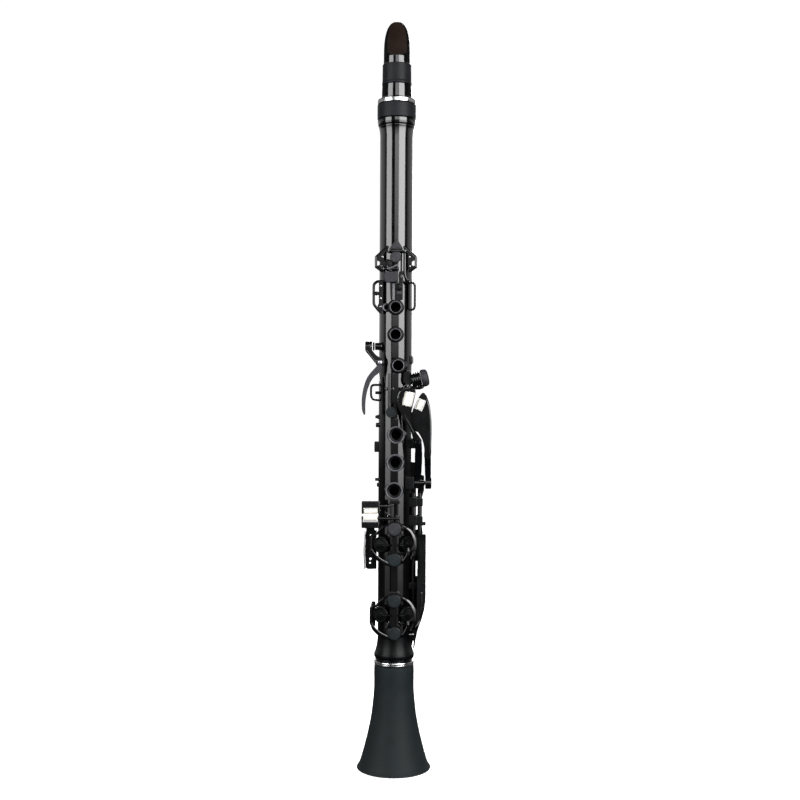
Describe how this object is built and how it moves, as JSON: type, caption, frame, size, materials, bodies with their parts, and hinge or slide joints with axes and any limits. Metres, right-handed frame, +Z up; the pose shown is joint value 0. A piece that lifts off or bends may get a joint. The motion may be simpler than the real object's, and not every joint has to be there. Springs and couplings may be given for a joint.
{
  "type": "clarinet",
  "caption": "Straight black plastic clarinet in C with a one-piece body, levered keys with rollers, guards over the low pads and a flared bell.",
  "frame": {"origin": "centre of the bell's rim plane, where the clarinet stands", "axes": "+Z up the bore towards the mouthpiece, -Y through the finger holes towards the player's fingertips, +X on the side of the long key rods"},
  "size_m": [0.058, 0.058, 0.5876],
  "materials": {
    "gloss_black": "polished black ABS",
    "bell_slate": "fine matte black ABS",
    "soft_grey": "soft matte elastomer",
    "touch_grey": "soft-touch matte plastic",
    "beak_black": "black ABS, satin on the beak",
    "chrome_ring": "bright plated",
    "steel": "plain drawn rod",
    "roller_metal": "turned, satin",
    "pad_silicone": "moulded silicone",
    "reed_resin": "moulded resin",
    "seal_rubber": "black rubber ring"
  },
  "bodies": {
    "body": {"main_body": "gloss_black", "body_tenon_seal": "seal_rubber", "thumb_rest": "gloss_black", "thumb_cushion": "soft_grey", "throat_bracket_left": "gloss_black", "throat_bracket_right": "gloss_black", "left_guard": "gloss_black", "right_guard": "gloss_black", "lever_guide": "gloss_black", "upper_ring_guard": "gloss_black", "lower_ring_guard": "gloss_black", "upper_bumper_top": "touch_grey", "upper_bumper_bottom": "touch_grey", "lower_bumper_top": "touch_grey", "lower_bumper_bottom": "touch_grey", "rod_fairing": "gloss_black", "side_trill_pin": "steel", "left_lever_axle": "steel", "upper_left_pin": "steel", "upper_right_pin": "steel", "lower_left_pin": "steel", "lower_right_pin": "steel"},
    "bell": {"bell": "bell_slate", "bell_ring": "chrome_ring"},
    "barrel": {"barrel": "gloss_black", "barrel_ring": "chrome_ring", "barrel_grip": "soft_grey", "barrel_tenon_seal": "seal_rubber"},
    "mouthpiece": {"mouthpiece": "beak_black", "reed": "reed_resin", "mouthpiece_seal": "seal_rubber"},
    "ligature": {"ligature": "soft_grey"},
    "throat_a_key": {"throat_a_key": "gloss_black", "throat_a_pad": "pad_silicone"},
    "throat_g_sharp_key": {"throat_g_sharp_key": "gloss_black", "throat_g_sharp_pad": "pad_silicone"},
    "register_key": {"register_key": "gloss_black", "register_pad": "pad_silicone"},
    "side_trill_key": {"side_trill_key": "gloss_black", "side_trill_pad": "pad_silicone"},
    "c_sharp_touch": {"c_sharp_touch": "gloss_black", "c_sharp_touch_cap": "touch_grey"},
    "c_sharp_pad_key": {"c_sharp_pad_key": "gloss_black", "c_sharp_pad": "pad_silicone"},
    "left_inner_lever": {"left_inner_lever": "gloss_black"},
    "left_inner_roller": {"left_inner_roller": "roller_metal"},
    "left_outer_lever": {"left_outer_lever": "gloss_black"},
    "left_outer_roller": {"left_outer_roller": "roller_metal"},
    "inner_link_rod": {"inner_link_rod": "gloss_black"},
    "outer_link_rod": {"outer_link_rod": "gloss_black"},
    "low_f_key": {"low_f_key": "gloss_black", "low_f_pad": "pad_silicone"},
    "low_f_roller": {"low_f_roller": "roller_metal"},
    "a_flat_key": {"a_flat_key": "gloss_black", "a_flat_pad": "pad_silicone"},
    "a_flat_roller": {"a_flat_roller": "roller_metal"},
    "low_e_key": {"low_e_key": "gloss_black", "low_e_pad": "pad_silicone"},
    "low_f_sharp_key": {"low_f_sharp_key": "gloss_black", "low_f_sharp_pad": "pad_silicone"}
  },
  "joints": [
    {"name": "bell_pull", "type": "slide", "parent": "body", "child": "bell", "axis": [0, 0, -1], "range_m": [0, 0.02]},
    {"name": "barrel_tuning", "type": "slide", "parent": "body", "child": "barrel", "axis": [0, 0, 1], "range_m": [0, 0.006]},
    {"name": "mouthpiece_pull", "type": "slide", "parent": "barrel", "child": "mouthpiece", "axis": [0, 0, 1], "range_m": [0, 0.013]},
    {"name": "ligature_slide", "type": "slide", "parent": "mouthpiece", "child": "ligature", "axis": [0, 0, 1], "range_m": [0, 0.04]},
    {"name": "throat_a_press", "type": "hinge", "parent": "body", "child": "throat_a_key", "pos_m": [0, -0.0159, 0.4037], "axis": [1, 0, 0], "range_deg": [0, 8], "stiffness_Nm_per_rad": 0.02, "springref_deg": -17.19},
    {"name": "throat_g_sharp_press", "type": "hinge", "parent": "body", "child": "throat_g_sharp_key", "pos_m": [0, -0.0159, 0.3899], "axis": [1, 0, 0], "range_deg": [0, 8], "stiffness_Nm_per_rad": 0.02, "springref_deg": -17.19},
    {"name": "register_press", "type": "hinge", "parent": "body", "child": "register_key", "pos_m": [0, 0.0164, 0.42], "axis": [-1, 0, 0], "range_deg": [0, 6], "stiffness_Nm_per_rad": 0.02, "springref_deg": -17.19},
    {"name": "side_trill_press", "type": "hinge", "parent": "body", "child": "side_trill_key", "pos_m": [-0.012, 0, 0.3175], "axis": [0, -1, 0], "range_deg": [0, 6], "stiffness_Nm_per_rad": 0.03, "springref_deg": -17.19},
    {"name": "c_sharp_press", "type": "hinge", "parent": "body", "child": "c_sharp_touch", "pos_m": [0.0098, -0.0126, 0.305], "axis": [0, 0, 1], "range_deg": [0, 6], "stiffness_Nm_per_rad": 0.03, "springref_deg": -17.19},
    {"name": "c_sharp_pad_lift", "type": "hinge", "parent": "body", "child": "c_sharp_pad_key", "pos_m": [0, -0.0156, 0.297], "axis": [-1, 0, 0], "range_deg": [0, 4.5]},
    {"name": "left_inner_press", "type": "hinge", "parent": "body", "child": "left_inner_lever", "pos_m": [0, -0.009, 0.224], "axis": [-1, 0, 0], "range_deg": [0, 2.5], "stiffness_Nm_per_rad": 0.15, "springref_deg": -11.46},
    {"name": "left_inner_roll", "type": "hinge", "parent": "left_inner_lever", "child": "left_inner_roller", "pos_m": [0.0099, -0.0209, 0.28925], "axis": [0.2361, 0, 0.9717], "continuous": true},
    {"name": "left_outer_press", "type": "hinge", "parent": "body", "child": "left_outer_lever", "pos_m": [0, -0.009, 0.224], "axis": [-1, 0, 0], "range_deg": [0, 2.5], "stiffness_Nm_per_rad": 0.15, "springref_deg": -11.46},
    {"name": "left_outer_roll", "type": "hinge", "parent": "left_outer_lever", "child": "left_outer_roller", "pos_m": [0.01925, -0.0176, 0.285], "axis": [0.3777, 0, 0.9259], "continuous": true},
    {"name": "inner_link_turn", "type": "hinge", "parent": "body", "child": "inner_link_rod", "pos_m": [0.0148, -0.004, 0.16], "axis": [0, 0, 1], "range_deg": [0, 8]},
    {"name": "outer_link_turn", "type": "hinge", "parent": "body", "child": "outer_link_rod", "pos_m": [0.0196, -0.004, 0.16], "axis": [0, 0, -1], "range_deg": [0, 8]},
    {"name": "low_f_press", "type": "hinge", "parent": "body", "child": "low_f_key", "pos_m": [-0.0019, -0.0152, 0.19], "axis": [0, 0, -1], "range_deg": [0, 8], "stiffness_Nm_per_rad": 0.03, "springref_deg": -17.19},
    {"name": "low_f_roll", "type": "hinge", "parent": "low_f_key", "child": "low_f_roller", "pos_m": [-0.01862, -0.01694, 0.2026], "axis": [0.9903, 0.1392, 0], "continuous": true},
    {"name": "a_flat_press", "type": "hinge", "parent": "body", "child": "a_flat_key", "pos_m": [0.0021, -0.0152, 0.19], "axis": [0, 0, -1], "range_deg": [0, 7], "stiffness_Nm_per_rad": 0.03, "springref_deg": -17.19},
    {"name": "a_flat_roll", "type": "hinge", "parent": "a_flat_key", "child": "a_flat_roller", "pos_m": [-0.0187, -0.0172, 0.1971], "axis": [1, 0, 0], "continuous": true},
    {"name": "low_e_press", "type": "hinge", "parent": "body", "child": "low_e_key", "pos_m": [-0.0019, -0.0152, 0.1223], "axis": [0, 0, -1], "range_deg": [0, 8]},
    {"name": "low_f_sharp_press", "type": "hinge", "parent": "body", "child": "low_f_sharp_key", "pos_m": [0.0021, -0.0152, 0.1223], "axis": [0, 0, 1], "range_deg": [0, 8]}
  ],
  "couplings": [
    {"joint": "c_sharp_pad_lift", "follows": "c_sharp_press", "ratio": 0.75},
    {"joint": "inner_link_turn", "follows": "left_inner_press", "ratio": 3.2},
    {"joint": "low_f_sharp_press", "follows": "left_inner_press", "ratio": 3.2},
    {"joint": "outer_link_turn", "follows": "left_outer_press", "ratio": 3.2},
    {"joint": "low_e_press", "follows": "left_outer_press", "ratio": 3.2}
  ]
}
